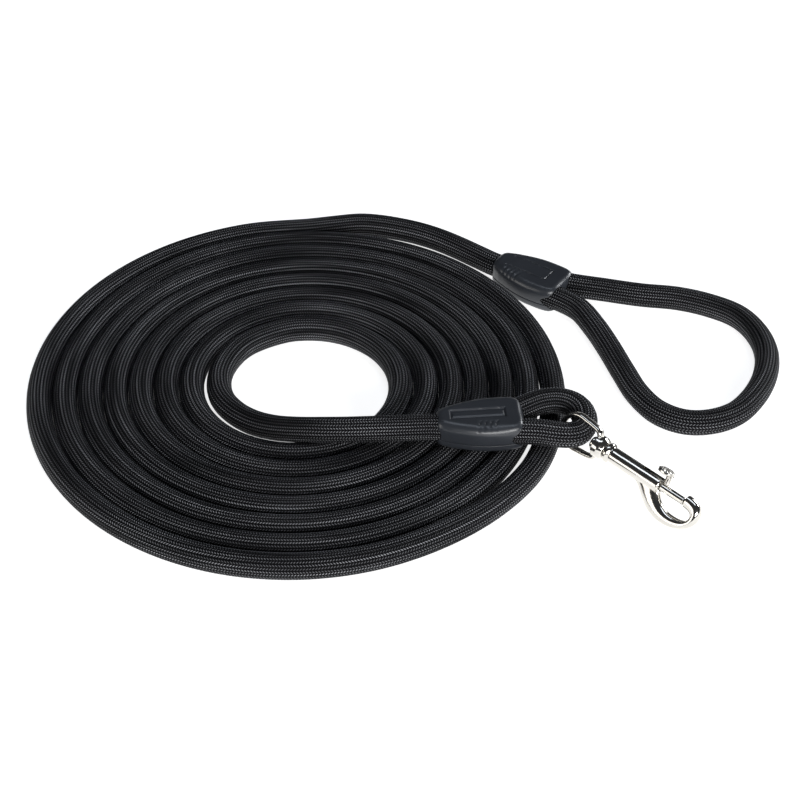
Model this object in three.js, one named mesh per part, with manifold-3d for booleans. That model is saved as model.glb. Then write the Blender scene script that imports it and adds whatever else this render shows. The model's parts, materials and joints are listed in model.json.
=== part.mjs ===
// Rope training leash: a braided rope lies in a flat coil, with a hand loop at one end and a
// swivel bolt snap in a small loop at the other. Millimetres, +Z up, the rope lies on z = 0.
import * as THREE from 'three';
import { mergeVertices } from 'three/addons/utils/BufferGeometryUtils.js';
import Module from 'manifold-3d';

const wasm = await Module();
wasm.setup();

// ---- Driving dimensions ----
const GAP = 0.3; // clearance between neighbouring solids
const PAST = 5; // a cutting solid runs this far past what it cuts
const ROPE_D = 12.7; // half-inch rope
const ROPE_R = ROPE_D / 2;
const ROPE_SIDES = 10;
const ROPE_SPACE_R = (ROPE_R + GAP) / Math.cos(Math.PI / ROPE_SIDES); // a space that clears the rope

const COIL_OUTER_R = 10.7 * ROPE_D; // eight flat turns, outside
const COIL_INNER_R = 3.95 * ROPE_D;
const COIL_SHIFT_X = -0.15 * ROPE_D; // the spiral is a little off the point its turns wind around

const CLAMP = {
  length: 43,
  width: 27.4,
  narrow: 14.6, // width where the single rope enters
  height: 15,
  parting: 4.9, // height of the joint between the two shells
  edge: 3, // rounding of the top and bottom edges
  strand: 6.5, // each strand's distance from the middle line, where two lie side by side
  tailStop: 23, // the rope's cut end stops this far from the narrow end
  web: 5.8, // height of the hollow that joins the channels of the two strands
};
const CLAMP_AXIS_Z = CLAMP.height / 2;
const FERRULE = { start: 25.5, end: 34.5, bite: 0.9, wall: 0.8 }; // it bites into the rope

const HANDLE_CLAMP = { at: [101.5, 101, 0], turn: -35, leadSide: 1 };
const SNAP_CLAMP = { at: [65.8, -48.1, ROPE_D + GAP], turn: 5, leadSide: -1 };

const EYE = { radius: 9.2, thick: 2.6, wide: 3.8, bar: 12.8, roll: -14 };
const EYE_BASE = { start: 11.6, end: 18.1, radius: 5.7 }; // the round part that turns on the rivet
const BARREL = { start: 18.5, end: 52, radius: 4.1, collarR: 5, collarEnd: 21.2 };
const BORE = { start: 24.5, radius: 2.3 };
const RIVET = { headStart: 8.8, headEnd: 11.3, headR: 3.5, shankEnd: 22.6, radius: 2, seatEnd: 23 };
const BOLT = { start: 42.5, tip: 66.6, radius: 1.95 };
const STUD = { at: 53.9, radius: 1.5, pinR: 0.95, pinEnd: -1, headBottom: 6.7, headTop: 9.1 };
const STUD_HEAD = { start: 47, end: 55.6, width: 7.2 };
const SLOT = { start: 39.9, width: 3.7 }; // lets the stud travel 12 mm
const SPRING = { start: 24.8, end: 42.2, radius: 1.55, wireR: 0.25, turns: 9 };
const HOOK = { width: 6, edge: 1.4, roll: -28 };
const ROUND = 28; // sides of the snap's round parts

// The snap hangs in the rope loop and slopes down, so that the hook's bow lies on the floor.
const SNAP = { at: [135.8, -47.6, 16.6], turn: -45, slope: 2.1 };

// ---- Materials ----
const colour = (hex, roughness, metalness) =>
  new THREE.MeshStandardMaterial({ color: hex, roughness, metalness });
const ropeMaterial = colour(0x16171a, 0.75, 0);
const shellMaterial = colour(0x24262b, 0.5, 0);
const steelMaterial = colour(0xb9bcc0, 0.35, 1);
const nickelMaterial = colour(0xd9d7d2, 0.15, 1);

// ---- Solids: a closed three.js geometry becomes a manifold solid, and back ----
function solid(geometry) {
  const plain = geometry.clone();
  plain.deleteAttribute('normal');
  plain.deleteAttribute('uv');
  const merged = mergeVertices(plain, 1e-4);
  const mesh = new wasm.Mesh({
    numProp: 3,
    vertProperties: Float32Array.from(merged.attributes.position.array),
    triVerts: Uint32Array.from(merged.index.array),
  });
  mesh.merge();
  return new wasm.Manifold(mesh);
}

function geometryOf(manifold) {
  const mesh = manifold.getMesh();
  const geometry = new THREE.BufferGeometry();
  geometry.setAttribute('position', new THREE.BufferAttribute(mesh.vertProperties, 3));
  geometry.setIndex(new THREE.BufferAttribute(mesh.triVerts, 1));
  return geometry;
}

function part(name, shape, material) {
  const geometry = shape.isBufferGeometry ? shape : geometryOf(shape);
  const mesh = new THREE.Mesh(geometry, material);
  mesh.name = name;
  return mesh;
}

function box(low, high) {
  const size = high.map((value, i) => value - low[i]);
  const geometry = new THREE.BoxGeometry(...size);
  geometry.translate(...low.map((value, i) => value + size[i] / 2));
  return solid(geometry);
}

// A solid of revolution about X. Its outline of [x, radius] points starts and ends on the axis.
function turned(outline) {
  const points = outline.map(([x, radius]) => new THREE.Vector2(radius, x));
  points.push(points[0].clone());
  const geometry = new THREE.LatheGeometry(points, ROUND);
  geometry.rotateZ(-Math.PI / 2);
  return solid(geometry);
}

const rod = (start, end, radius) => turned([[start, 0], [start, radius], [end, radius], [end, 0]]);

// A round tube along a smooth curve through the points.
function tube(points, radius, sides, steps) {
  const curve = new THREE.CatmullRomCurve3(points.map((p) => new THREE.Vector3(...p)), false, 'centripetal');
  return sweep(curve, ellipse(radius, radius, sides), steps);
}

function ellipse(across, along, sides) {
  const shape = new THREE.Shape();
  for (let i = 0; i < sides; i += 1) {
    const angle = (2 * Math.PI * i) / sides;
    const point = [across * Math.cos(angle), along * Math.sin(angle)];
    if (i === 0) shape.moveTo(...point);
    else shape.lineTo(...point);
  }
  return shape;
}

function sweep(curve, shape, steps) {
  return new THREE.ExtrudeGeometry(shape, { steps, extrudePath: curve, bevelEnabled: false });
}

// ---- Rope routes ----
// Inside a clamp, from the narrow end at x = 0 to the wide end: the lead swings to one side,
// and the rope's cut tail lies beside it.
function leadInClamp(side) {
  const { length, strand } = CLAMP;
  return [[0, 0], [9, side * 1.6], [17, side * 4.6], [25, side * strand], [length - 6, side * strand]];
}

function tailInClamp(side) {
  const { length, strand, tailStop } = CLAMP;
  const y = -side * strand;
  return [[tailStop, y], [(tailStop + length) / 2, y], [length - 6, y]];
}

function clampMatrix(clamp) {
  const matrix = new THREE.Matrix4().makeRotationZ(THREE.MathUtils.degToRad(clamp.turn));
  return matrix.setPosition(...clamp.at);
}

function inClamp(clamp, points) {
  const matrix = clampMatrix(clamp);
  return points.map(([x, y]) => new THREE.Vector3(x, y, CLAMP_AXIS_Z).applyMatrix4(matrix).toArray());
}

// From the cut tail in the handle clamp, round the hand loop, back through the clamp and
// on to the coil's outermost turn.
const HAND_LOOP = [
  [143, 64, 6.5], [151, 48, 6.5], [157, 31, 6.5], [163, 11, 6.5], [169, -7, 6.5], [178, -21, 6.5],
  [190, -28, 6.5], [203, -28, 6.5], [216, -22, 6.5], [227, -9, 6.5], [235, 8, 6.5], [238, 26, 6.5],
  [235, 43, 6.5], [227, 57, 6.5], [213, 66.5, 6.5], [197, 72.5, 6.5], [178, 75.5, 6.5], [160, 79.5, 6.7],
];
const HANDLE_LEAD = [
  [92, 109.5, 6.7], [82, 117.8, 6.5], [71, 125.6, 6.5], [60, 131.6, 6.5], [49, 135.8, 6.5], [38, 138.8, 6.5],
  [27, 140, 6.5],
];

// From the innermost turn, up on to the coil, through the snap clamp, round the snap and back.
const SNAP_LEAD = [
  [-29.5, 33.8, 6.5], [-38.5, 20.5, 6.5], [-42.3, 5, 6.5], [-40, -10, 6.5], [-33, -21, 6.7],
  [-23.6, -29.6, 7.6], [-12.8, -36.2, 9.8], [-1, -42.2, 13.8], [11, -47, 17.8], [23, -49, 19.6],
  [35, -49.3, 20.3], [51, -48.8, 20.5],
];
const SNAP_LOOP = [
  [116, -51.6, 20.4], [126, -51.7, 18.8], [132, -50.3, 17.4], [136, -47.7, 16.6], [138.7, -43.6, 16.9],
  [139.3, -38.2, 17.8], [137.2, -32.6, 18.8], [132.4, -28.6, 19.4], [126, -27.4, 19.9], [117, -29.8, 20.5],
];

function handleEnd() {
  const lead = inClamp(HANDLE_CLAMP, leadInClamp(HANDLE_CLAMP.leadSide));
  const tail = inClamp(HANDLE_CLAMP, tailInClamp(HANDLE_CLAMP.leadSide));
  return { route: [...tail, ...HAND_LOOP, ...lead.reverse(), ...HANDLE_LEAD], steps: 76 };
}

function snapEnd() {
  const lead = inClamp(SNAP_CLAMP, leadInClamp(SNAP_CLAMP.leadSide));
  const tail = inClamp(SNAP_CLAMP, tailInClamp(SNAP_CLAMP.leadSide));
  return { route: [...SNAP_LEAD, ...lead, ...SNAP_LOOP, ...tail.reverse()], steps: 56 };
}

// The whole coil as one ring with round edges, as its innermost and outermost turns have.
function coilRing() {
  const edgePoints = 6;
  const profile = [];
  for (const [radius, start] of [[COIL_OUTER_R - ROPE_R, -90], [COIL_INNER_R + ROPE_R, 90]]) {
    for (let i = 0; i <= edgePoints; i += 1) {
      const angle = THREE.MathUtils.degToRad(start + (180 * i) / edgePoints);
      profile.push(new THREE.Vector2(radius + ROPE_R * Math.cos(angle), ROPE_R + ROPE_R * Math.sin(angle)));
    }
  }
  profile.push(profile[0].clone());
  const geometry = new THREE.LatheGeometry(profile, 64);
  geometry.rotateX(Math.PI / 2);
  geometry.translate(COIL_SHIFT_X, 0, 0);
  return geometry;
}

// ---- Rope clamps: two moulded shells round a crimped steel ferrule ----
function clampOutline() {
  const { length, width, narrow } = CLAMP;
  const half = width / 2;
  const shape = new THREE.Shape();
  shape.moveTo(0, 0);
  shape.bezierCurveTo(0, -narrow / 2, 3, -narrow / 2, 7, -narrow / 2 - 2);
  shape.bezierCurveTo(13, -half + 2.5, 20, -half, 28, -half);
  shape.bezierCurveTo(43, -half, length + 0.8, -half + 3.8, length, 0);
  shape.bezierCurveTo(length + 0.8, half - 3.8, 43, half, 28, half);
  shape.bezierCurveTo(20, half, 13, half - 2.5, 7, narrow / 2 + 2);
  shape.bezierCurveTo(3, narrow / 2, 0, narrow / 2, 0, 0);
  return shape;
}

function clampBody() {
  const { height, edge } = CLAMP;
  const geometry = new THREE.ExtrudeGeometry(clampOutline(), {
    depth: height - 2 * edge,
    curveSegments: 5,
    bevelThickness: edge,
    bevelSize: edge,
    bevelOffset: -edge,
    bevelSegments: 3,
  });
  geometry.translate(0, 0, edge);
  return solid(geometry);
}

// The space for the rope, a little wider than the rope, with the wedge between its two strands.
function clampChannel(clamp, ropeShape) {
  const { length, strand, tailStop, web } = CLAMP;
  const space = tube(ropeShape.route, ROPE_SPACE_R, ROPE_SIDES, ropeShape.steps);
  space.applyMatrix4(clampMatrix(clamp).invert());
  const tailEnd = rod(tailStop - 2 * GAP, tailStop + 2, ROPE_SPACE_R);
  const between = box([tailStop, -strand, -web / 2], [length + PAST, strand, web / 2]);
  return solid(space)
    .add(tailEnd.translate(0, -clamp.leadSide * strand, CLAMP_AXIS_Z))
    .add(between.translate(0, 0, CLAMP_AXIS_Z));
}

// A flat-sided band, round at both ends, that fits over two strands lying side by side.
function band(start, end, clearance) {
  const radius = ROPE_R + clearance;
  const shape = new THREE.Shape();
  shape.absarc(0, CLAMP.strand, radius, 0, Math.PI);
  shape.absarc(0, -CLAMP.strand, radius, Math.PI, 2 * Math.PI);
  const depth = end - start;
  const geometry = new THREE.ExtrudeGeometry(shape, { depth, curveSegments: 8, bevelEnabled: false });
  geometry.rotateY(Math.PI / 2);
  geometry.translate(start, 0, CLAMP_AXIS_Z);
  return solid(geometry);
}

// The ferrule is crimped, so its inside is smaller than the rope; the rope is necked in under it.
function ferrule() {
  const { start, end, bite, wall } = FERRULE;
  return band(start, end, wall - bite).subtract(band(start - 1, end + 1, -bite));
}

function ropeWithNeck(clamp, ropeShape) {
  const { start, end, bite } = FERRULE;
  const groove = band(start - GAP, end + GAP, 1).subtract(band(start - 1, end + 1, -bite - GAP));
  const matrix = clampMatrix(clamp).elements;
  const whole = solid(tube(ropeShape.route, ROPE_R, ROPE_SIDES, ropeShape.steps));
  return whole.subtract(groove.transform(matrix));
}

function clampShells(clamp, ropeShape) {
  const { length, width, height, parting } = CLAMP;
  const { start, end, bite, wall } = FERRULE;
  const ferruleSpace = band(start - GAP, end + GAP, wall - bite + GAP);
  const hollow = clampBody().subtract(clampChannel(clamp, ropeShape)).subtract(ferruleSpace);
  const cutter = (low, high) => box([-PAST, -width, low], [length + PAST, width, high]);
  return {
    upper: hollow.intersect(cutter(parting + GAP / 2, height + PAST)),
    lower: hollow.intersect(cutter(-PAST, parting - GAP / 2)),
  };
}

function clampGroup(name, clamp, ropeShape) {
  const group = new THREE.Group();
  const shells = clampShells(clamp, ropeShape);
  group.add(part(`${name}_clamp_upper`, shells.upper, shellMaterial));
  group.add(part(`${name}_clamp_lower`, shells.lower, shellMaterial));
  group.add(part(`${name}_ferrule`, ferrule(), steelMaterial));
  group.applyMatrix4(clampMatrix(clamp));
  return group;
}

// ---- Bolt snap, along +X from the middle of the rope it hangs on; the stud points to +Y ----
function swivelEye() {
  const { radius, thick, wide, bar } = EYE;
  const arm = [[bar, 1], [bar, 4.6], [bar - 1.3, 7.3], [bar - 5, 8.4], [3, 8.9]];
  const points = arm.map(([x, y]) => [x, -y, 0]);
  for (let degrees = 270; degrees >= 90; degrees -= 30) {
    const angle = THREE.MathUtils.degToRad(degrees);
    points.push([radius * Math.cos(angle), radius * Math.sin(angle), 0]);
  }
  points.push(...arm.reverse().map(([x, y]) => [x, y, 0]));
  const curve = new THREE.CatmullRomCurve3(points.map((p) => new THREE.Vector3(...p)), false, 'centripetal');
  const loop = solid(sweep(curve, ellipse(wide / 2, thick / 2, 10), 40));
  const base = turned([
    [EYE_BASE.start, 0], [EYE_BASE.start, EYE_BASE.radius - 0.6], [EYE_BASE.start + 0.6, EYE_BASE.radius],
    [EYE_BASE.end - 2.4, EYE_BASE.radius], [EYE_BASE.end, EYE_BASE.radius - 1.2], [EYE_BASE.end, 0],
  ]);
  return loop.add(base).subtract(rod(0, EYE_BASE.end + 1, RIVET.radius + GAP));
}

function swivelRivet() {
  const { headStart, headEnd, headR, shankEnd, radius } = RIVET;
  return turned([
    [headStart, 0], [headStart, headR - 1.2], [headStart + 1, headR], [headEnd, headR],
    [headEnd, radius], [shankEnd, radius], [shankEnd, 0],
  ]);
}

// The outline of the bow: down from the barrel, round under the bolt and up to the nose.
function hookOutline() {
  const shape = new THREE.Shape();
  shape.moveTo(36, 0);
  shape.lineTo(38, -4);
  shape.bezierCurveTo(44, -6.5, 47, -15.2, 59.5, -15.3);
  shape.bezierCurveTo(70, -15.3, 76.6, -9.5, 76.6, -3);
  shape.bezierCurveTo(76.6, 2, 72.5, 4, BOLT.tip + 0.5, 4);
  shape.lineTo(BOLT.tip + 0.5, -2.2);
  shape.bezierCurveTo(70.5, -2, 72, -3.2, 72, -4.8);
  shape.bezierCurveTo(72, -7.6, 68, -9, 63, -9);
  shape.bezierCurveTo(57.5, -9, 53, -5.5, BARREL.end, 0);
  return shape;
}

function snapBody() {
  const { start, end, radius, collarR, collarEnd } = BARREL;
  const barrel = turned([
    [start, 0], [start, collarR - 0.6], [start + 0.6, collarR], [collarEnd - 0.7, collarR],
    [collarEnd, collarR - 0.3], [collarEnd + 0.8, radius], [end - 0.4, radius], [end, radius - 0.4],
    [end, 0],
  ]);
  const hook = new THREE.ExtrudeGeometry(hookOutline(), {
    depth: HOOK.width - 2 * HOOK.edge,
    curveSegments: 7,
    bevelThickness: HOOK.edge,
    bevelSize: HOOK.edge,
    bevelOffset: -HOOK.edge,
    bevelSegments: 2,
  });
  hook.translate(0, 0, HOOK.edge - HOOK.width / 2);
  const slot = box([SLOT.start, 0, -SLOT.width / 2], [end + 1, radius + 2, SLOT.width / 2]);
  return barrel
    .add(solid(hook))
    .subtract(rod(BORE.start, BOLT.tip - 6, BORE.radius))
    .subtract(rod(start - 1, RIVET.seatEnd, RIVET.radius + GAP))
    .subtract(slot);
}

function upright(start, end, radius) {
  const geometry = new THREE.CylinderGeometry(radius, radius, end - start, 16);
  geometry.translate(STUD.at, (start + end) / 2, 0);
  return solid(geometry);
}

function bolt() {
  const { start, tip, radius } = BOLT;
  const body = turned([[start, 0], [start, radius], [tip - 0.7, radius], [tip, radius - 0.7], [tip, 0]]);
  return body.subtract(upright(STUD.pinEnd - GAP, radius + 1, STUD.pinR + GAP));
}

function thumbStud() {
  const { start, end, width } = STUD_HEAD;
  const { headBottom, headTop, radius, pinR, pinEnd } = STUD;
  const oval = ellipse((end - start) / 2, width / 2, 20);
  const edge = 0.6;
  const head = new THREE.ExtrudeGeometry(oval, {
    depth: headTop - headBottom - 2 * edge,
    bevelThickness: edge,
    bevelSize: edge,
    bevelOffset: -edge,
    bevelSegments: 2,
  });
  head.rotateX(-Math.PI / 2);
  head.translate((start + end) / 2, headBottom + edge, 0);
  const stem = upright(BOLT.radius + GAP, headBottom + edge, radius);
  const pin = upright(pinEnd, BOLT.radius + edge, pinR);
  return solid(head).add(stem).add(pin);
}

function boltSpring() {
  const { start, end, radius, wireR, turns } = SPRING;
  const perTurn = 12;
  const points = [];
  for (let i = 0; i <= turns * perTurn; i += 1) {
    const angle = (2 * Math.PI * i) / perTurn;
    const along = start + wireR + ((end - start - 2 * wireR) * i) / (turns * perTurn);
    points.push([along, radius * Math.cos(angle), radius * Math.sin(angle)]);
  }
  return tube(points, wireR, 5, turns * perTurn);
}

function snapGroup() {
  const eye = new THREE.Group();
  eye.rotation.x = THREE.MathUtils.degToRad(90 + EYE.roll);
  eye.add(part('swivel_eye', swivelEye(), nickelMaterial));
  const hook = new THREE.Group();
  hook.rotation.x = THREE.MathUtils.degToRad(90 + HOOK.roll);
  hook.add(part('swivel_rivet', swivelRivet(), nickelMaterial));
  hook.add(part('snap_body', snapBody(), nickelMaterial));
  hook.add(part('bolt', bolt(), nickelMaterial));
  hook.add(part('thumb_stud', thumbStud(), nickelMaterial));
  hook.add(part('bolt_spring', boltSpring(), steelMaterial));
  const snap = new THREE.Group();
  snap.add(eye, hook);
  snap.position.set(...SNAP.at);
  snap.rotation.set(0, THREE.MathUtils.degToRad(SNAP.slope), THREE.MathUtils.degToRad(SNAP.turn), 'ZYX');
  return snap;
}

// ---- The leash ----
const hardware = new THREE.Group();
hardware.add(clampGroup('handle', HANDLE_CLAMP, handleEnd()));
hardware.add(clampGroup('snap', SNAP_CLAMP, snapEnd()));
hardware.add(snapGroup());

const rope = new THREE.Group();
rope.add(part('rope_coil', coilRing(), ropeMaterial));
rope.add(part('rope_handle_end', ropeWithNeck(HANDLE_CLAMP, handleEnd()), ropeMaterial));
rope.add(part('rope_snap_end', ropeWithNeck(SNAP_CLAMP, snapEnd()), ropeMaterial));

// The origin is on the floor, under the middle of the clamps and the snap.
const leash = new THREE.Group();
leash.add(hardware, rope);
const middle = new THREE.Box3().setFromObject(hardware, true).getCenter(new THREE.Vector3());
leash.position.set(-middle.x, -middle.y, 0);
leash.updateMatrixWorld(true);

export default leash;
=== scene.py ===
"""Rope training leash: a long braided rope in a flat coil, with a hand loop and a bolt snap."""

import json
import math

import bpy
import numpy as np
from mathutils import Matrix, Vector


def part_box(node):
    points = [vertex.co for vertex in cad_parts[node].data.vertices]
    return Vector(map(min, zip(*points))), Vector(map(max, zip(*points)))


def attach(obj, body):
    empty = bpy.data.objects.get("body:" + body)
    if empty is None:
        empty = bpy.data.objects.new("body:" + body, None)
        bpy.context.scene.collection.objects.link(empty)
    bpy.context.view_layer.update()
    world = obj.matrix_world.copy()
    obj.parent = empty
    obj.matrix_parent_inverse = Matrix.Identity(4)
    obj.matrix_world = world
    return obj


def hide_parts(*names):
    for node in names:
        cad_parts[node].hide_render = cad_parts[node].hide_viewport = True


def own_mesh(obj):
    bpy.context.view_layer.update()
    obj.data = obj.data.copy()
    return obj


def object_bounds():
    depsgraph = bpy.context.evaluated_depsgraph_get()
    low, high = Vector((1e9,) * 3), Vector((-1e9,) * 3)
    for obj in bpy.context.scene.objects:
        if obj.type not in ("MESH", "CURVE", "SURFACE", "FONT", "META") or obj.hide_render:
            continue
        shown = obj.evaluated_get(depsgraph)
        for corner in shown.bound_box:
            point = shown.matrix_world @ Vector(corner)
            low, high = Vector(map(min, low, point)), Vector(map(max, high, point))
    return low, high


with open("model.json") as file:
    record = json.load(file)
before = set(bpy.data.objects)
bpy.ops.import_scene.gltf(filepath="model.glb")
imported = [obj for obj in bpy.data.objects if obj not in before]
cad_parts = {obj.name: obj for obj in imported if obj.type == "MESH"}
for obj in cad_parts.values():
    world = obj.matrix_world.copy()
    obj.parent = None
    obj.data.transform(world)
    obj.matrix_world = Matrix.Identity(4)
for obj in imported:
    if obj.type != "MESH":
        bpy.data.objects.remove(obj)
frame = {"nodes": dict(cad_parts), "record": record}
cad_box = [list(corner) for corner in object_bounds()]
joints = {joint["name"]: joint for joint in frame["record"]["behaviour"]["joints"]}

# ---- Driving dimensions, in millimetres unless a name says otherwise ----
MM = 0.001
ROPE_D = 12.7
ROPE_R = ROPE_D / 2
BRAID_COLUMNS = 24  # columns of stitches round the rope
BRAID_GROOVE = 0.3  # depth of the valley between two columns
TICK = 1.35  # length of rope that one stitch takes
RING_STEP = 2.45  # the rope mesh has a ring of vertices this often

COIL_REST = 6.4  # height of the rope's middle where it lies on the surface
COIL_SHIFT = 0.15 * ROPE_D  # the coil's box is centred this far to the left of the spiral's centre
COIL_START_R = 10.67 * ROPE_D
COIL_PITCH = 1.0013 * ROPE_D
COIL_TURNS = 7.08
COIL_POINTS_PER_TURN = 24
SLACK = 2.6  # the outermost turn stands off this far at one place
SLACK_TURN = 0.668
SLACK_SPREAD = 0.05

CLAMP_LENGTH = 43.0
CLAMP_WIDTH = 27.4
CLAMP_NARROW = 14.6
CLAMP_HEIGHT = 15.0
CLAMP_EDGE = 4.6
CLAMP_FOOT_EDGE = 3.2
CLAMP_PARTING = 4.9
CLAMP_STRAND = 6.5
CLAMP_TAIL_STOP = 23.0
CLAMP_INSET = 0.15  # the moulding is this much smaller than its outline all round
CLAMP_BULGE = 0.5  # the wide end stands out this far
SEAM_EDGE = 0.25  # rounding along the parting line
SHELL_GAP = 0.3
HANDLE_CLAMP = {"at": (101.5, 101.0, 0.0), "turn": -35.0, "side": 1}
SNAP_CLAMP = {"at": (65.8, -48.1, 13.0), "turn": 5.0, "side": -1}

SNAP_ROLL = -28.0
EYE_ROLL = -14.0
EYE_RING_R = 9.2
EYE_THICK = 2.6
EYE_WIDE = 3.8
PIN_BORE_R = 2.3  # the bores that the rivet and the bolt turn and slide in
BOW_WIDTH = 6.0
STUD_AT = 53.9
STUD_HEAD_MIDDLE = 51.3
STUD_HEAD_LOW = 6.7
STUD_HEAD_HIGH = 9.1
STUD_HEAD_LONG = 8.6
STUD_HEAD_WIDE = 7.2
STUD_RIB_PITCH = 1.35
STUD_RIB_DEPTH = 0.28
SPRING_R = 1.55
SPRING_WIRE_R = 0.25

# The rope's route where it isn't coiled, from the spiral's centre, as in the CAD.
HAND_LOOP = [
    (143, 64, 6.5), (151, 48, 6.5), (157, 31, 6.5), (163, 11, 6.5), (169, -7, 6.5), (178, -21, 6.5),
    (190, -28, 6.5), (203, -28, 6.5), (216, -22, 6.5), (227, -9, 6.5), (235, 8, 6.5), (238, 26, 6.5),
    (235, 43, 6.5), (227, 57, 6.5), (213, 66.5, 6.5), (197, 72.5, 6.5), (178, 75.5, 6.5), (160, 79.5, 6.7),
]
HANDLE_LEAD = [
    (92, 109.5, 6.7), (82, 117.8, 6.5), (71, 125.6, 6.5), (60, 131.6, 6.5), (49, 135.8, 6.5),
    (38, 138.8, 6.5), (27, 140, 6.5), (13, 138, 6.4),
]
SNAP_LEAD = [
    (-29.5, 33.8, 6.5), (-38.5, 20.5, 6.5), (-42.3, 5, 6.5), (-40, -10, 6.5), (-33, -21, 6.7),
    (-23.6, -29.6, 7.6), (-12.8, -36.2, 9.8), (-1, -42.2, 13.8), (11, -47, 17.8), (23, -49, 19.6),
    (35, -49.3, 20.3), (51, -48.8, 20.5),
]
SNAP_LOOP = [
    (116, -51.6, 20.4), (126, -51.7, 18.8), (132, -50.3, 17.4), (136, -47.7, 16.6),
    (138.7, -43.6, 16.9), (139.3, -38.2, 17.8), (137.2, -32.6, 18.8), (132.4, -28.6, 19.4),
    (126, -27.4, 19.9), (117, -29.8, 20.5),
]


def coil_centre():
    low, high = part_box("rope_coil")
    middle = (np.array(low) + np.array(high)) / 2
    return Vector((middle[0] + COIL_SHIFT * MM, middle[1], low[2]))


CENTRE = coil_centre()


# ---- Camera ----
def make_camera():
    data = bpy.data.cameras.new("camera")
    data.lens = 92.97
    data.sensor_width = 36
    camera = bpy.data.objects.new("camera", data)
    camera.location = CENTRE + Vector((0.0493, -0.8026, 0.6752))
    camera.rotation_euler = (math.radians(49.8), 0, 0)
    bpy.context.collection.objects.link(camera)
    bpy.context.scene.camera = camera


make_camera()


# ---- Small tools ----
def smoothstep(value):
    value = np.clip(value, 0, 1)
    return value * value * (3 - 2 * value)


def catmull_rom(points, per_span):
    """A centripetal curve through the points."""
    points = np.array(points, float)
    points = np.vstack([2 * points[0] - points[1], points, 2 * points[-1] - points[-2]])
    out = []
    for i in range(1, len(points) - 2):
        p0, p1, p2, p3 = points[i - 1:i + 3]
        d0, d1, d2 = (max(np.linalg.norm(b - a) ** 0.5, 1e-6) for a, b in ((p0, p1), (p1, p2), (p2, p3)))
        m1 = ((p1 - p0) / d0 - (p2 - p0) / (d0 + d1) + (p2 - p1) / d1) * d1
        m2 = ((p2 - p1) / d1 - (p3 - p1) / (d1 + d2) + (p3 - p2) / d2) * d1
        for j in range(per_span):
            t = j / per_span
            out.append(
                (2 * t ** 3 - 3 * t ** 2 + 1) * p1 + (t ** 3 - 2 * t ** 2 + t) * m1
                + (3 * t ** 2 - 2 * t ** 3) * p2 + (t ** 3 - t ** 2) * m2
            )
    out.append(points[-2])
    return np.array(out)


def evenly(points, step):
    """The same line, with points a step apart, and the distance along it at each."""
    lengths = np.concatenate([[0], np.cumsum(np.linalg.norm(np.diff(points, axis=0), axis=1))])
    count = max(2, int(round(lengths[-1] / step)) + 1)
    at = np.linspace(0, lengths[-1], count)
    return np.stack([np.interp(at, lengths, points[:, axis]) for axis in range(3)], axis=1), at


def new_object(name, vertices, faces, material):
    mesh = bpy.data.meshes.new(name)
    mesh.from_pydata([tuple(v) for v in vertices], [], [tuple(f) for f in faces])
    mesh.validate()
    mesh.update()
    piece = bpy.data.objects.new(name, mesh)
    bpy.context.collection.objects.link(piece)
    if material is not None:
        mesh.materials.append(material)
    return piece


def smooth_shade(piece, angle_deg=40):
    """Smooth faces, with sharp edges where the surface turns more than the angle."""
    mesh = piece.data
    for polygon in mesh.polygons:
        polygon.use_smooth = True
    mesh.set_sharp_from_angle(angle=math.radians(angle_deg))
    return piece


def sweep_faces(rings, around):
    """Quads between rings of vertices, and a cap at each end."""
    faces = []
    for i in range(rings - 1):
        here, there = i * around, (i + 1) * around
        for j in range(around):
            k = (j + 1) % around
            faces.append((here + j, here + k, there + k, there + j))
    faces.append(tuple(reversed(range(around))))
    faces.append(tuple(range((rings - 1) * around, rings * around)))
    return faces


def across(path):
    """Unit vectors along, sideways and upwards at each point of a path that is never upright."""
    along = np.gradient(path, axis=0)
    along /= np.linalg.norm(along, axis=1)[:, None]
    side = np.cross(along, [0, 0, 1])
    side /= np.linalg.norm(side, axis=1)[:, None]
    return along, side, np.cross(side, along)


def round_tube(path, side, up, radius, sides):
    """Vertices of rings round a path."""
    angles = 2 * math.pi * np.arange(sides) / sides
    cos, sin = np.cos(angles)[None, :, None], np.sin(angles)[None, :, None]
    return (path[:, None, :] + radius * (cos * side[:, None, :] + sin * up[:, None, :])).reshape(-1, 3)


def apply_modifiers(piece):
    """The piece's mesh becomes its mesh after its modifiers."""
    graph = bpy.context.evaluated_depsgraph_get()
    mesh = bpy.data.meshes.new_from_object(piece.evaluated_get(graph))
    piece.modifiers.clear()
    piece.data = mesh
    return piece


def cut(piece, tool):
    modifier = piece.modifiers.new("cut", "BOOLEAN")
    modifier.operation = "DIFFERENCE"
    modifier.solver = "EXACT"
    modifier.object = tool
    apply_modifiers(piece)
    bpy.data.objects.remove(tool)
    return piece


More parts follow.
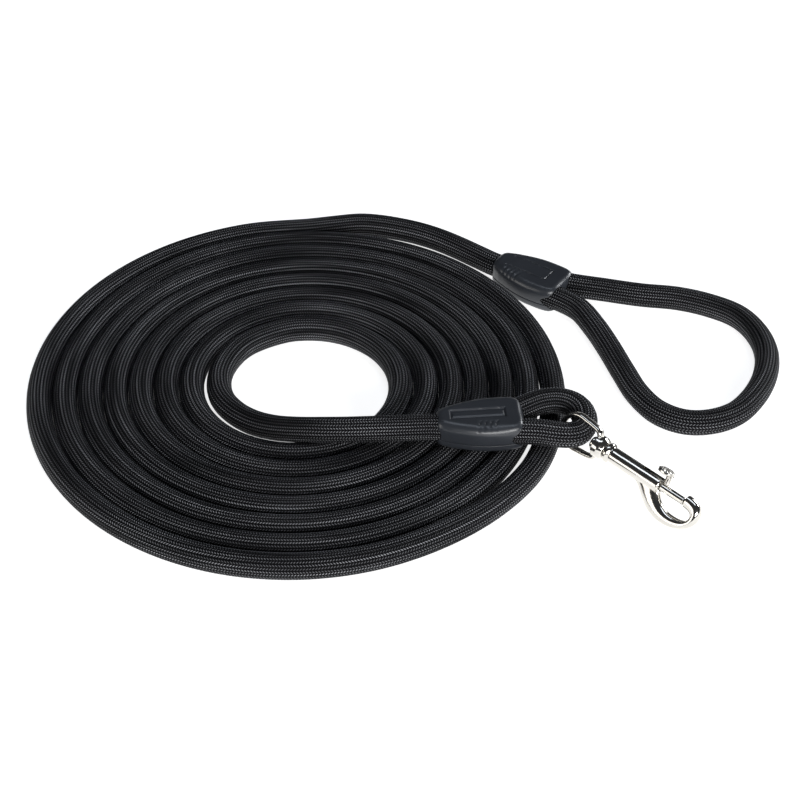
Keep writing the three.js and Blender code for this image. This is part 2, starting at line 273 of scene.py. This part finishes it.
# ---- Materials ----
class Nodes:
    """A material's nodes, made one at a time and linked by socket."""

    def __init__(self, name):
        self.material = bpy.data.materials.new(name)
        self.material.use_nodes = True
        self.tree = self.material.node_tree
        self.shader = self.tree.nodes["Principled BSDF"]

    def add(self, kind, inputs=(), **settings):
        node = self.tree.nodes.new(kind)
        for key, value in settings.items():
            setattr(node, key, value)
        for socket, value in dict(inputs).items():
            self.put(node.inputs[socket], value)
        return node

    def put(self, socket, value):
        if isinstance(value, bpy.types.NodeSocket):
            self.tree.links.new(value, socket)
        else:
            socket.default_value = value

    def math(self, operation, a, b=0.0):
        return self.add("ShaderNodeMath", {0: a, 1: b}, operation=operation).outputs[0]

    def noise(self, scale, detail=2.0, vector=None):
        where = vector or self.add("ShaderNodeTexCoord").outputs["Object"]
        values = {"Vector": where, "Scale": scale, "Detail": detail}
        return self.add("ShaderNodeTexNoise", values).outputs["Fac"]

    def ramp(self, factor, low, high):
        """A colour from low to high."""
        mix = self.add("ShaderNodeMix", {"Factor": factor}, data_type="RGBA")
        mix.inputs["A"].default_value = (*low, 1)
        mix.inputs["B"].default_value = (*high, 1)
        return mix.outputs["Result"]

    def span(self, factor, low, high):
        """A number that goes from low to high as the factor goes from 0 to 1."""
        values = {"Value": factor, "To Min": low, "To Max": high}
        return self.add("ShaderNodeMapRange", values).outputs["Result"]

    def bump(self, height, distance, strength=1.0):
        values = {"Height": height, "Distance": distance, "Strength": strength}
        return self.add("ShaderNodeBump", values).outputs["Normal"]

    def finish(self, **inputs):
        for name, value in inputs.items():
            self.put(self.shader.inputs[name.replace("_", " ")], value)
        return self.material


def braid_material():
    """Black braid: columns of slanting stitches that lean the other way in each next column. The stitch
    crowns are painted light grey in streaks, a painted highlight standing in for the fibres' sheen.
    """
    m = Nodes("braided_rope")
    uv = m.add("ShaderNodeUVMap", uv_map="braid").outputs["UV"]
    parts = m.add("ShaderNodeSeparateXYZ", {"Vector": uv})
    column, along = parts.outputs["X"], parts.outputs["Y"]
    across_column = m.math("FRACT", column)
    lean = m.math("SUBTRACT", m.math("MULTIPLY", m.math("MODULO", m.math("FLOOR", column), 2.0), 2.0), 1.0)
    slant = m.math("MULTIPLY", m.math("MULTIPLY", m.math("SUBTRACT", across_column, 0.5), lean), 1.1)
    wave = m.math("SINE", m.math("MULTIPLY", m.math("ADD", along, slant), 2 * math.pi))
    stitch = m.math("ADD", m.math("MULTIPLY", wave, 0.5), 0.5)
    crown = m.math("SINE", m.math("MULTIPLY", across_column, math.pi))
    raised = m.math("ADD", m.math("MULTIPLY", stitch, 0.7), 0.3)
    height = m.math("MULTIPLY", m.math("POWER", crown, 0.6), raised)
    drawn_out = m.add("ShaderNodeMapping", {"Vector": uv, "Scale": (0.7, 0.02, 1.0)}).outputs["Vector"]
    streak = m.noise(1.0, 3.0, drawn_out)
    yarn = m.noise(900.0, 2.0)
    # Painted highlight: the stitch crowns, in streaks along the columns, are painted light bluish grey for
    # the fibres' sheen; the rest of the braid stays near black.
    painted_sheen = m.math("MULTIPLY", m.math("POWER", streak, 3.0), 5.0)
    light = m.math("MULTIPLY", m.math("POWER", height, 5.0), painted_sheen)
    colour = m.ramp(light, (0.0008, 0.001, 0.0017), (0.42, 0.425, 0.45))
    relief = m.math("ADD", height, m.math("MULTIPLY", yarn, 0.25))
    return m.finish(
        Base_Color=colour,
        Roughness=m.span(height, 0.55, 0.3),
        Specular_IOR_Level=0.08,
        Normal=m.bump(relief, 0.0005),
    )


def plastic_material():
    """Charcoal satin moulding with a fine spark-eroded grain and faint rubbed patches."""
    m = Nodes("satin_plastic")
    grain = m.noise(2600.0, 3.0)
    rubbed = m.noise(95.0, 4.0)
    return m.finish(
        Base_Color=m.ramp(rubbed, (0.024, 0.027, 0.033), (0.036, 0.04, 0.048)),
        Roughness=m.span(rubbed, 0.24, 0.36),
        Specular_IOR_Level=0.6,
        Normal=m.bump(grain, 0.00004, 0.6),
    )


def plated_material():
    """Bright nickel plate over a die casting, with faint waves and fine wear."""
    m = Nodes("nickel_plate")
    waves = m.noise(160.0, 2.0)
    wear = m.noise(1400.0, 5.0)
    return m.finish(
        Base_Color=m.ramp(waves, (0.58, 0.555, 0.51), (0.7, 0.68, 0.635)),
        Metallic=1.0,
        Roughness=m.span(wear, 0.07, 0.2),
        Normal=m.bump(waves, 0.0003, 0.35),
    )


def steel_material(name, colour_low, colour_high, roughness):
    """Plain drawn steel, for the hidden ferrules and the spring."""
    m = Nodes(name)
    draw = m.noise(700.0, 4.0)
    return m.finish(
        Base_Color=m.ramp(draw, colour_low, colour_high),
        Metallic=1.0,
        Roughness=m.span(draw, roughness, roughness + 0.15),
        Normal=m.bump(draw, 0.00003, 0.5),
    )


BRAID = braid_material()
PLASTIC = plastic_material()
PLATE = plated_material()
FERRULE_STEEL = steel_material("ferrule_steel", (0.42, 0.43, 0.44), (0.6, 0.6, 0.61), 0.3)
SPRING_STEEL = steel_material("spring_steel", (0.45, 0.45, 0.46), (0.62, 0.62, 0.62), 0.22)


# ---- The rope ----
def clamp_matrix(clamp):
    """From a clamp's own frame to the row frame, in millimetres."""
    place = Matrix.Translation(Vector(clamp["at"]) + CENTRE / MM)
    return place @ Matrix.Rotation(math.radians(clamp["turn"]), 4, "Z")


def in_clamp(clamp, points):
    """Points [x, y] at the middle of a clamp's height, from the spiral's centre."""
    matrix = clamp_matrix(clamp)
    return [tuple(matrix @ Vector((x, y, CLAMP_HEIGHT / 2)) - CENTRE / MM) for x, y in points]


def lead_in_clamp(clamp):
    side = clamp["side"]
    return [(0, 0), (9, side * 1.6), (17, side * 4.6), (25, side * CLAMP_STRAND), (37, side * CLAMP_STRAND)]


def tail_in_clamp(clamp):
    y = -clamp["side"] * CLAMP_STRAND
    return [(CLAMP_TAIL_STOP, y), ((CLAMP_TAIL_STOP + CLAMP_LENGTH) / 2, y), (CLAMP_LENGTH - 6, y)]


def spiral():
    """From the top of the outermost turn, turning inwards on the surface."""
    points = []
    count = int(COIL_TURNS * COIL_POINTS_PER_TURN)
    for i in range(count + 1):
        turn = COIL_TURNS * i / count
        slack = SLACK * math.exp(-(((turn - SLACK_TURN) / SLACK_SPREAD) ** 2))
        radius = COIL_START_R - COIL_PITCH * turn + slack
        angle = math.pi / 2 + 2 * math.pi * turn
        points.append((radius * math.cos(angle), radius * math.sin(angle), COIL_REST))
    return points


def rope_route():
    """The middle of the rope from one cut end to the other, in metres."""
    handle = in_clamp(HANDLE_CLAMP, lead_in_clamp(HANDLE_CLAMP))
    snap = in_clamp(SNAP_CLAMP, lead_in_clamp(SNAP_CLAMP))
    points = in_clamp(HANDLE_CLAMP, tail_in_clamp(HANDLE_CLAMP)) + HAND_LOOP + handle[::-1] + HANDLE_LEAD
    points += spiral()[:-1] + SNAP_LEAD + snap + SNAP_LOOP
    points += in_clamp(SNAP_CLAMP, tail_in_clamp(SNAP_CLAMP))[::-1]
    return catmull_rom(points, 12) * MM + np.array(CENTRE)


def rope_mesh(name, path, distance):
    """A tube with a ridge for each column of the braid, and its own braid coordinates."""
    around = 2 * BRAID_COLUMNS
    along, side, up = across(path)
    angles = 2 * math.pi * np.arange(around) / around
    groove = np.where(np.arange(around) % 2 == 1, BRAID_GROOVE, 0.0)
    radius = (ROPE_R - groove) * MM
    ring = radius[None, :, None] * (
        np.cos(angles)[None, :, None] * side[:, None, :] + np.sin(angles)[None, :, None] * up[:, None, :]
    )
    vertices = (path[:, None, :] + ring).reshape(-1, 3)
    faces = [tuple(reversed(face)) for face in sweep_faces(len(path), around)]
    piece = new_object(name, vertices, faces, BRAID)
    layer = piece.data.uv_layers.new(name="braid")
    for polygon in piece.data.polygons:
        polygon.use_smooth = True
        if len(polygon.vertices) > 4:
            continue
        columns = [piece.data.loops[i].vertex_index % around for i in polygon.loop_indices]
        wraps = max(columns) - min(columns) > 1
        for i, column in zip(polygon.loop_indices, columns):
            ring_number = piece.data.loops[i].vertex_index // around
            column = around if wraps and column == 0 else column
            layer.data[i].uv = ((column + 1) / 2, distance[ring_number] / (TICK * MM))
    return piece


def make_rope():
    path, distance = evenly(rope_route(), RING_STEP * MM)
    rope = rope_mesh("braided_rope", path, distance)
    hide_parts("rope_coil", "rope_handle_end", "rope_snap_end")
    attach(rope, "leash")
    return path


ROPE_PATH = make_rope()


# ---- Rope clamps ----
def bezier(p0, p1, p2, p3, count):
    t = np.linspace(0, 1, count, endpoint=False)[:, None]
    p0, p1, p2, p3 = (np.array(p, float) for p in (p0, p1, p2, p3))
    return (1 - t) ** 3 * p0 + 3 * (1 - t) ** 2 * t * p1 + 3 * (1 - t) * t ** 2 * p2 + t ** 3 * p3


def clamp_outline():
    """Points round the teardrop outline, evenly spaced."""
    half, neck, end = CLAMP_WIDTH / 2, CLAMP_NARROW / 2, CLAMP_LENGTH + CLAMP_BULGE
    lower = np.vstack([
        bezier((0, 0), (0, -neck), (3, -neck), (7, -neck - 2), 60),
        bezier((7, -neck - 2), (13, -half + 2.5), (20, -half), (28, -half), 60),
        bezier((28, -half), (45, -half), (end, -half + 3), (end, 0), 60),
        [[end, 0]],
    ])
    upper = lower[::-1][1:-1] * [1, -1]
    loop = np.vstack([lower, upper])
    closed = np.vstack([loop, loop[:1]])
    flat = np.column_stack([closed, np.zeros(len(closed))])
    points, _ = evenly(flat, 0.72)
    return points[:-1, :2]


def box_ridge(x, y, low, high, soft):
    """1 inside a rectangle and 0 outside it, with soft edges."""
    inside_x = np.minimum(x - low[0], high[0] - x)
    inside_y = np.minimum(y - low[1], high[1] - y)
    return smoothstep(np.minimum(inside_x, inside_y) / soft + 0.5)


def ribs(x, y, first, pitch, count, near, far):
    """Short grooves across the near shoulder."""
    depth = np.zeros_like(x)
    for i in range(count):
        bend = 0.035 * (y - near) ** 2
        line = smoothstep(1 - np.abs(x - first - pitch * i - bend) / 0.75)
        depth += line * smoothstep((y - near) / 0.8) * smoothstep((far - y) / 0.8)
    return 0.4 * np.minimum(depth, 1)


def snap_clamp_relief(x, y):
    """A long recess with a raised bar in it, and ribs on the near shoulder."""
    recess = box_ridge(x, y, (7.6, -3.3), (34.6, 3.3), 0.7)
    bar = box_ridge(x, y, (8.6, -1.9), (33.6, 1.3), 1.3)
    return -0.7 * recess + 0.5 * bar - ribs(x, y, 20.5, 2.7, 4, -12.4, -5.6)


def handle_clamp_relief(x, y):
    """An engraved outline, open at the narrow end, and curved ribs on the near shoulder."""
    outside = box_ridge(x, y, (4, -4.9), (33.6, 4.9), 0.4)
    inside = box_ridge(x, y, (4, -4.2), (32.9, 4.2), 0.4)
    line = (outside - inside) * smoothstep((x - 8.5) / 0.8)
    return -0.5 * line - ribs(x, y, 9.5, 2.9, 4, -12.4, -5.6)


def shell_mesh(bottom, top, low_edge, high_edge, relief):
    """A solid between two heights over the clamp's outline, with rounded edges and a fine top."""
    outline = clamp_outline()
    around = len(outline)
    spine_x = np.clip(outline[:, 0], 9, CLAMP_LENGTH - 12)
    spine = np.column_stack([spine_x, np.zeros(around)])
    reach = np.linalg.norm(outline - spine, axis=1)
    towards = (spine - outline) / reach[:, None]
    # The edges' rounding is tighter near the two ends.
    rounding = np.interp(outline[:, 0], (0, 13, 30, CLAMP_LENGTH), (0.95, 1.05, 1, 0.75))
    low, high = rounding * low_edge, rounding * high_edge

    def ring(inset, height):
        shift = np.broadcast_to(inset, around)[:, None]
        return np.column_stack([outline + towards * shift, np.broadcast_to(height, around)])

    rings = []
    steps = 9
    for i in range(steps + 1):
        turn = math.pi / 2 * i / steps
        height = bottom + low_edge * (1 - math.cos(turn))
        rings.append(ring(CLAMP_INSET + low * (1 - math.sin(turn)), height))
    for i in range(steps + 1):
        turn = math.pi / 2 * i / steps
        height = top - high_edge * (1 - math.sin(turn))
        rings.append(ring(CLAMP_INSET + high * (1 - math.cos(turn)), height))
    inner = 36
    for i in range(1, inner):
        share = i / inner
        rings.append(ring(CLAMP_INSET + high + (reach - high - CLAMP_INSET) * share, top))
    vertices = np.vstack(rings)
    if relief is not None:
        on_top = vertices[:, 2] > top - high_edge * 0.85
        vertices[on_top, 2] += relief(vertices[on_top, 0], vertices[on_top, 1])
    faces = sweep_faces(len(rings), around)
    return vertices, faces


def clamp_channel(clamp):
    """The rope's space inside a clamp, as one closed tube per strand, a little wider than the rope."""
    matrix = clamp_matrix(clamp)
    centre = np.array(matrix @ Vector((CLAMP_LENGTH / 2, 0, CLAMP_HEIGHT / 2))) * MM
    near = np.linalg.norm(ROPE_PATH - centre, axis=1) < 36 * MM
    runs = []
    start = None
    for i, inside in enumerate(list(near) + [False]):
        if inside and start is None:
            start = i
        if not inside and start is not None:
            runs.append(ROPE_PATH[start:i])
            start = None
    sides = 40
    tools = []
    for run in runs:
        _, side, up = across(run)
        vertices = round_tube(run, side, up, (ROPE_R + SHELL_GAP) * MM, sides)
        faces = [tuple(reversed(face)) for face in sweep_faces(len(run), sides)]
        tools.append(new_object("channel", vertices, faces, None))
    return tools


def make_shell(name, node, clamp, bottom, top, low_edge, high_edge, relief):
    vertices, faces = shell_mesh(bottom, top, low_edge, high_edge, relief)
    matrix = clamp_matrix(clamp)
    placed = [(matrix @ Vector(v)) * MM for v in vertices]
    shell = new_object(name, placed, faces, PLASTIC)
    for tool in clamp_channel(clamp):
        cut(shell, tool)
    smooth_shade(shell, 35)
    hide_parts(node)
    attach(shell, "leash")


def make_clamp(name, clamp, relief):
    seam = SHELL_GAP / 2
    make_shell(
        f"{name}_shell_lower", f"{name}_clamp_lower", clamp,
        0.0, CLAMP_PARTING - seam, CLAMP_FOOT_EDGE, SEAM_EDGE, None,
    )
    make_shell(
        f"{name}_shell_upper", f"{name}_clamp_upper", clamp,
        CLAMP_PARTING + seam, CLAMP_HEIGHT, SEAM_EDGE, CLAMP_EDGE, relief,
    )


make_clamp("handle", HANDLE_CLAMP, handle_clamp_relief)
make_clamp("snap", SNAP_CLAMP, snap_clamp_relief)


# ---- The bolt snap, in its own frame: x along it from the rope, y towards the stud ----
def snap_frame(roll):
    """From the snap's frame, in millimetres, to the row frame, in metres."""
    origin = Vector(joints["eye_pivot"]["pos_m"])
    along = Vector(joints["snap_swivel"]["axis"]).normalized()
    level = -Vector(joints["eye_pivot"]["axis"]).normalized()
    up = along.cross(level)
    turned = math.radians(90 + roll)
    stud = math.cos(turned) * level + math.sin(turned) * up
    axes = Matrix((along, stud, along.cross(stud))).transposed().to_4x4()
    return Matrix.Translation(origin) @ axes @ Matrix.Scale(MM, 4)


def place(piece, roll, body, node=None, slot="snap_metal"):
    piece.data.transform(snap_frame(roll))
    if node:
        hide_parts(node)
    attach(piece, body)
    return piece


def lathe(name, outline, sides=96, material=PLATE):
    """A solid of revolution about x from its outline of (x, radius), ends closed."""
    vertices = []
    for x, radius in outline:
        for j in range(sides):
            angle = 2 * math.pi * j / sides
            vertices.append((x, radius * math.cos(angle), radius * math.sin(angle)))
    return new_object(name, vertices, sweep_faces(len(outline), sides), material)


def fillet(outline, radius, steps=4):
    """The outline with its inner corners rounded."""
    points = [np.array(p, float) for p in outline]
    out = [points[0]]
    for before, corner, after in zip(points, points[1:], points[2:]):
        back, ahead = before - corner, after - corner
        reach = min(radius, np.linalg.norm(back) * 0.45, np.linalg.norm(ahead) * 0.45)
        start = corner + back / np.linalg.norm(back) * reach
        end = corner + ahead / np.linalg.norm(ahead) * reach
        for i in range(steps + 1):
            t = i / steps
            out.append((1 - t) ** 2 * start + 2 * t * (1 - t) * corner + t * t * end)
    out.append(points[-1])
    return [tuple(p) for p in out]


def rod_tool(start, end, radius, sides=48):
    return lathe("tool", [(start, radius), (end, radius)], sides, None)


def box_tool(low, high):
    (x0, y0, z0), (x1, y1, z1) = low, high
    vertices = [(x, y, z) for z in (z0, z1) for x, y in ((x0, y0), (x1, y0), (x1, y1), (x0, y1))]
    faces = [(0, 3, 2, 1), (4, 5, 6, 7), (0, 1, 5, 4), (1, 2, 6, 5), (2, 3, 7, 6), (3, 0, 4, 7)]
    return new_object("tool", vertices, faces, None)


def superellipse(across_v, across_w, power, sides):
    """Points round a rounded rectangle, as offsets along two directions."""
    angles = 2 * math.pi * np.arange(sides) / sides
    cos, sin = np.cos(angles), np.sin(angles)
    return (
        across_v * np.sign(cos) * np.abs(cos) ** (2 / power),
        across_w * np.sign(sin) * np.abs(sin) ** (2 / power),
    )


def make_eye():
    """The cast loop round the rope, its two arms and the round base that turns on the rivet."""
    arm = [(12.8, 1), (12.8, 4.6), (11.5, 7.3), (7.8, 8.4), (3, 8.9)]
    points = [(x, -y, 0) for x, y in arm]
    for degrees in range(270, 89, -15):
        angle = math.radians(degrees)
        points.append((EYE_RING_R * math.cos(angle), EYE_RING_R * math.sin(angle), 0))
    points += [(x, y, 0) for x, y in reversed(arm)]
    path = catmull_rom(points, 8)
    along = np.gradient(path, axis=0)
    along /= np.linalg.norm(along, axis=1)[:, None]
    side = np.cross(along, [0, 0, 1])
    sides = 28
    thick, wide = superellipse(EYE_THICK / 2, EYE_WIDE / 2, 2.6, sides)
    ring = thick[None, :, None] * side[:, None, :] + wide[None, :, None] * np.array([0, 0, 1.0])
    faces = [tuple(reversed(face)) for face in sweep_faces(len(path), sides)]
    loop = new_object("swivel_loop", (path[:, None, :] + ring).reshape(-1, 3), faces, PLATE)
    outline = [(11.6, 0.05), (11.6, 5.0), (12.2, 5.7), (15.4, 5.7), (18.1, 4.3), (18.1, 0.05)]
    join(loop, lathe("swivel_base", fillet(outline, 0.6)))
    cut(loop, rod_tool(8, 20, PIN_BORE_R))
    smooth_shade(loop, 38)
    place(loop, EYE_ROLL, "eye", "swivel_eye")


def join(piece, other):
    """One solid out of two."""
    modifier = piece.modifiers.new("join", "BOOLEAN")
    modifier.operation = "UNION"
    modifier.solver = "EXACT"
    modifier.object = other
    apply_modifiers(piece)
    bpy.data.objects.remove(other)
    return piece


def make_rivet():
    outline = [
        (8.8, 0.05), (8.8, 1.6), (9.4, 3.1), (10.1, 3.5), (11.3, 3.5), (11.3, 2), (22.6, 2), (22.6, 0.05),
    ]
    rivet = smooth_shade(lathe("swivel_rivet_head", fillet(outline, 0.5)), 50)
    place(rivet, SNAP_ROLL, "snap", "swivel_rivet")


def hook_sections():
    """Pairs of points on the bow's outer and inner outlines, from the barrel to the nose."""
    outer = np.vstack([
        bezier((38, -4), (44, -6.5), (47, -15.2), (59.5, -15.3), 26),
        bezier((59.5, -15.3), (70, -15.3), (76.6, -9.5), (76.6, -3), 24),
        bezier((76.6, -3), (76.6, 2), (72.5, 4.1), (67.3, 4.1), 16),
        [[67.3, 4.1]],
    ])
    inner = np.vstack([
        bezier((52, 0), (53, -5.5), (57.5, -9), (63, -9), 26),
        bezier((63, -9), (68, -9), (72, -7.6), (72, -4.8), 24),
        bezier((72, -4.8), (72, -3.2), (70.5, -2.3), (67.3, -2.3), 16),
        [[67.3, -2.3]],
    ])
    return outer, inner


def hook_bow():
    outer, inner = hook_sections()
    sides = 36
    rings = []
    for far, near in zip(outer, inner):
        middle, reach = (far + near) / 2, (far - near) / 2
        half = np.linalg.norm(reach)
        depth, width = superellipse(half, BOW_WIDTH / 2, 2.35, sides)
        unit = reach / half
        rings.append(np.column_stack([middle[0] + unit[0] * depth, middle[1] + unit[1] * depth, width]))
    faces = sweep_faces(len(rings), sides)
    return new_object("hook_bow", np.vstack(rings), [tuple(reversed(f)) for f in faces], PLATE)


def make_snap_body():
    """Barrel with its bead collar, and the cast bow that runs round to the bolt's tip."""
    outline = [
        (18.5, 0.05), (18.5, 4.5), (19.3, 5.05), (20.6, 5.05), (21.3, 4.5), (21.9, 3.9), (22.8, 4.1),
        (51.4, 4.1), (52, 3.5), (52, 0.05),
    ]
    body = lathe("snap_barrel", fillet(outline, 0.45))
    join(body, hook_bow())
    cut(body, rod_tool(24.5, 60.6, PIN_BORE_R))
    cut(body, rod_tool(17.5, 23, PIN_BORE_R))
    cut(body, box_tool((39.9, 0, -1.85), (53, 6, 1.85)))
    smooth_shade(body, 32)
    place(body, SNAP_ROLL, "snap", "snap_body")


def make_bolt():
    outline = [(42.5, 0.05), (42.5, 1.95), (65.9, 1.95), (66.6, 1.2), (66.6, 0.05)]
    bolt = smooth_shade(lathe("snap_bolt", fillet(outline, 0.25), 64), 45)
    place(bolt, SNAP_ROLL, "bolt", "bolt")


def make_stud():
    """The thumb stud: an oval head with ribs across it, on a round stem."""
    rows, sides = 40, 56
    rings = []
    for i in range(rows + 1):
        share = i / rows
        level = STUD_HEAD_LOW + (STUD_HEAD_HIGH - STUD_HEAD_LOW) * share
        swell = (1 - abs(2 * share - 1) ** 3.2) ** 0.4 if 0 < i < rows else 0.0
        size = 0.55 + 0.45 * swell
        long_v, wide_v = superellipse(STUD_HEAD_LONG / 2 * size, STUD_HEAD_WIDE / 2 * size, 2.2, sides)
        rings.append(np.column_stack([STUD_HEAD_MIDDLE + long_v, np.full(sides, level), wide_v]))
    for shrink in (0.85, 0.6, 0.35, 0.12):
        middle = np.array([STUD_HEAD_MIDDLE, STUD_HEAD_HIGH, 0])
        rings.append(middle + (rings[rows] - middle) * shrink)
    vertices = np.vstack(rings)
    top = vertices[:, 1] > 8.3
    wave = STUD_RIB_DEPTH * (np.cos(vertices[:, 0] * 2 * math.pi / STUD_RIB_PITCH) - 1) / 2
    vertices[top, 1] += wave[top]
    stud = new_object("thumb_stud_head", vertices, sweep_faces(len(rings), sides), PLATE)
    stem = lathe("stem", fillet([(2.25, 0.05), (2.25, 1.5), (6.2, 1.5), (7.2, 2.2), (7.2, 0.05)], 0.4), 48)
    stem.data.transform(Matrix.Translation((STUD_AT, 0, 0)) @ Matrix.Rotation(math.pi / 2, 4, "Z"))
    join(stud, stem)
    smooth_shade(stud, 45)
    place(stud, SNAP_ROLL, "bolt", "thumb_stud")


def make_spring():
    """The spring behind the bolt, as a fixed coil at rest."""
    turns, per_turn, start, end = 9, 28, 25.05, 41.95
    count = turns * per_turn
    turn = np.arange(count + 1) / per_turn
    path = np.column_stack([
        start + (end - start) * turn / turns,
        SPRING_R * np.cos(2 * math.pi * turn),
        SPRING_R * np.sin(2 * math.pi * turn),
    ])
    along = np.gradient(path, axis=0)
    along /= np.linalg.norm(along, axis=1)[:, None]
    side = np.cross(along, [1, 0, 0])
    side /= np.linalg.norm(side, axis=1)[:, None]
    up = np.cross(side, along)
    sides = 10
    vertices = round_tube(path, side, up, SPRING_WIRE_R, sides)
    faces = [tuple(reversed(face)) for face in sweep_faces(len(path), sides)]
    spring = new_object("bolt_spring_coil", vertices, faces, SPRING_STEEL)
    smooth_shade(spring, 60)
    place(spring, SNAP_ROLL, "snap", "bolt_spring", "spring_wire")
    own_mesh(spring)


make_eye()
make_rivet()
make_snap_body()
make_bolt()
make_stud()
make_spring()


def finish_cad_nodes():
    """The two hidden ferrules keep their CAD shape and get a steel look."""
    for node in ("handle_ferrule", "snap_ferrule"):
        mesh = frame["nodes"][node].data
        mesh.materials.clear()
        mesh.materials.append(FERRULE_STEEL)


finish_cad_nodes()


# ---- Floor, backdrop and light ----
def floor_material():
    m = Nodes("pale_floor")
    tint = m.noise(3.0, 2.0)
    return m.finish(
        Base_Color=m.ramp(tint, (0.9, 0.9, 0.9), (0.93, 0.93, 0.93)),
        Roughness=0.9,
        Specular_IOR_Level=0.1,
        Emission_Color=(1, 1, 1, 1),
        Emission_Strength=0.8,
    )


def make_floor():
    reach = 6.0
    z = cad_box[0][2] - 0.0003
    corners = [(-reach, -reach, z), (reach, -reach, z), (reach, reach, z), (-reach, reach, z)]
    floor = new_object("floor", corners, [(0, 1, 2, 3)], floor_material())


def area_light(name, location, target, size, power, colour=(1, 1, 1)):
    data = bpy.data.lights.new(name, "AREA")
    data.shape = "RECTANGLE"
    data.size, data.size_y = size
    data.energy = power
    data.color = colour
    light = bpy.data.objects.new(name, data)
    light.location = location
    light.rotation_euler = (Vector(target) - Vector(location)).to_track_quat("-Z", "Y").to_euler()
    bpy.context.collection.objects.link(light)


def make_world():
    world = bpy.data.worlds.new("studio")
    world.use_nodes = True
    background = world.node_tree.nodes["Background"]
    background.inputs["Color"].default_value = (0.9, 0.94, 1.0, 1)
    background.inputs["Strength"].default_value = 0.04
    bpy.context.scene.world = world
    bpy.context.scene.view_settings.view_transform = "Standard"


def make_lights():
    target = (CENTRE.x + 0.05, CENTRE.y, 0)
    area_light("key", (0.45, -1.6, 0.65), target, (1.5, 0.45), 26)
    area_light("rim", (1.25, 0.9, 0.6), target, (0.9, 0.4), 14, (0.95, 0.97, 1))
    area_light("top", (0.0, 0.15, 1.5), target, (1.3, 0.4), 4, (0.8, 0.88, 1))
    area_light("left", (-1.5, -0.5, 0.35), target, (0.9, 0.6), 4, (1, 0.97, 0.93))


make_floor()
make_world()
make_lights()
